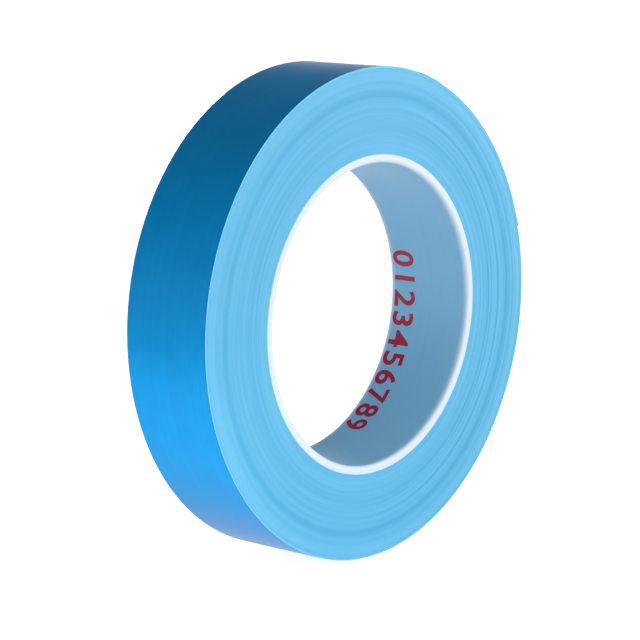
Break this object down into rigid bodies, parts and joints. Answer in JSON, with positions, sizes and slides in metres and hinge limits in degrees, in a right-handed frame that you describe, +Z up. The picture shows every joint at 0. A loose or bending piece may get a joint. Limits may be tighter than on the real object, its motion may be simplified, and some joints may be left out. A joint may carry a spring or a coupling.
{
  "type": "tape roll",
  "caption": "Upright roll of smooth film tape wound on a thin plastic core with a wide open bore; its free end peels off the roll.",
  "frame": {"origin": "centre of the core's bore, at the middle of the roll's width", "axes": "+Y along the bore from the front side to the back side, +Z up with the roll standing on its edge, +X to the right seen from the front"},
  "size_m": [0.1237, 0.0258, 0.1238],
  "materials": {
    "core_plastic": "smooth white moulded tube",
    "tape_film": "smooth blue film, satin, with faint winding rings on its two sides"
  },
  "bodies": {
    "roll": {"core": "core_plastic", "wound_tape": "tape_film"},
    "free_end_01": {"free_end_01": "tape_film"},
    "free_end_02": {"free_end_02": "tape_film"},
    "free_end_03": {"free_end_03": "tape_film"},
    "free_end_04": {"free_end_04": "tape_film"},
    "free_end_05": {"free_end_05": "tape_film"},
    "free_end_06": {"free_end_06": "tape_film"},
    "free_end_07": {"free_end_07": "tape_film"},
    "free_end_08": {"free_end_08": "tape_film"},
    "free_end_09": {"free_end_09": "tape_film"},
    "free_end_10": {"free_end_10": "tape_film"}
  },
  "joints": [
    {"name": "peel", "type": "hinge", "parent": "roll", "child": "free_end_01", "pos_m": [0.01605, 0, 0.05989], "axis": [0, -1, 0], "range_deg": [0, 120]},
    {"name": "bend_02", "type": "hinge", "parent": "free_end_01", "child": "free_end_02", "pos_m": [0.02222, 0, 0.05789], "axis": [0, -1, 0], "range_deg": [0, 12]},
    {"name": "bend_03", "type": "hinge", "parent": "free_end_02", "child": "free_end_03", "pos_m": [0.02815, 0, 0.05525], "axis": [0, -1, 0], "range_deg": [0, 12]},
    {"name": "bend_04", "type": "hinge", "parent": "free_end_03", "child": "free_end_04", "pos_m": [0.03377, 0, 0.05201], "axis": [0, -1, 0], "range_deg": [0, 12]},
    {"name": "bend_05", "type": "hinge", "parent": "free_end_04", "child": "free_end_05", "pos_m": [0.03902, 0, 0.04819], "axis": [0, -1, 0], "range_deg": [0, 12]},
    {"name": "bend_06", "type": "hinge", "parent": "free_end_05", "child": "free_end_06", "pos_m": [0.04385, 0, 0.04385], "axis": [0, -1, 0], "range_deg": [0, 12]},
    {"name": "bend_07", "type": "hinge", "parent": "free_end_06", "child": "free_end_07", "pos_m": [0.04819, 0, 0.03903], "axis": [0, -1, 0], "range_deg": [0, 12]},
    {"name": "bend_08", "type": "hinge", "parent": "free_end_07", "child": "free_end_08", "pos_m": [0.05201, 0, 0.03378], "axis": [0, -1, 0], "range_deg": [0, 12]},
    {"name": "bend_09", "type": "hinge", "parent": "free_end_08", "child": "free_end_09", "pos_m": [0.05526, 0, 0.02816], "axis": [0, -1, 0], "range_deg": [0, 12]},
    {"name": "bend_10", "type": "hinge", "parent": "free_end_09", "child": "free_end_10", "pos_m": [0.0579, 0, 0.02223], "axis": [0, -1, 0], "range_deg": [0, 12]}
  ]
}
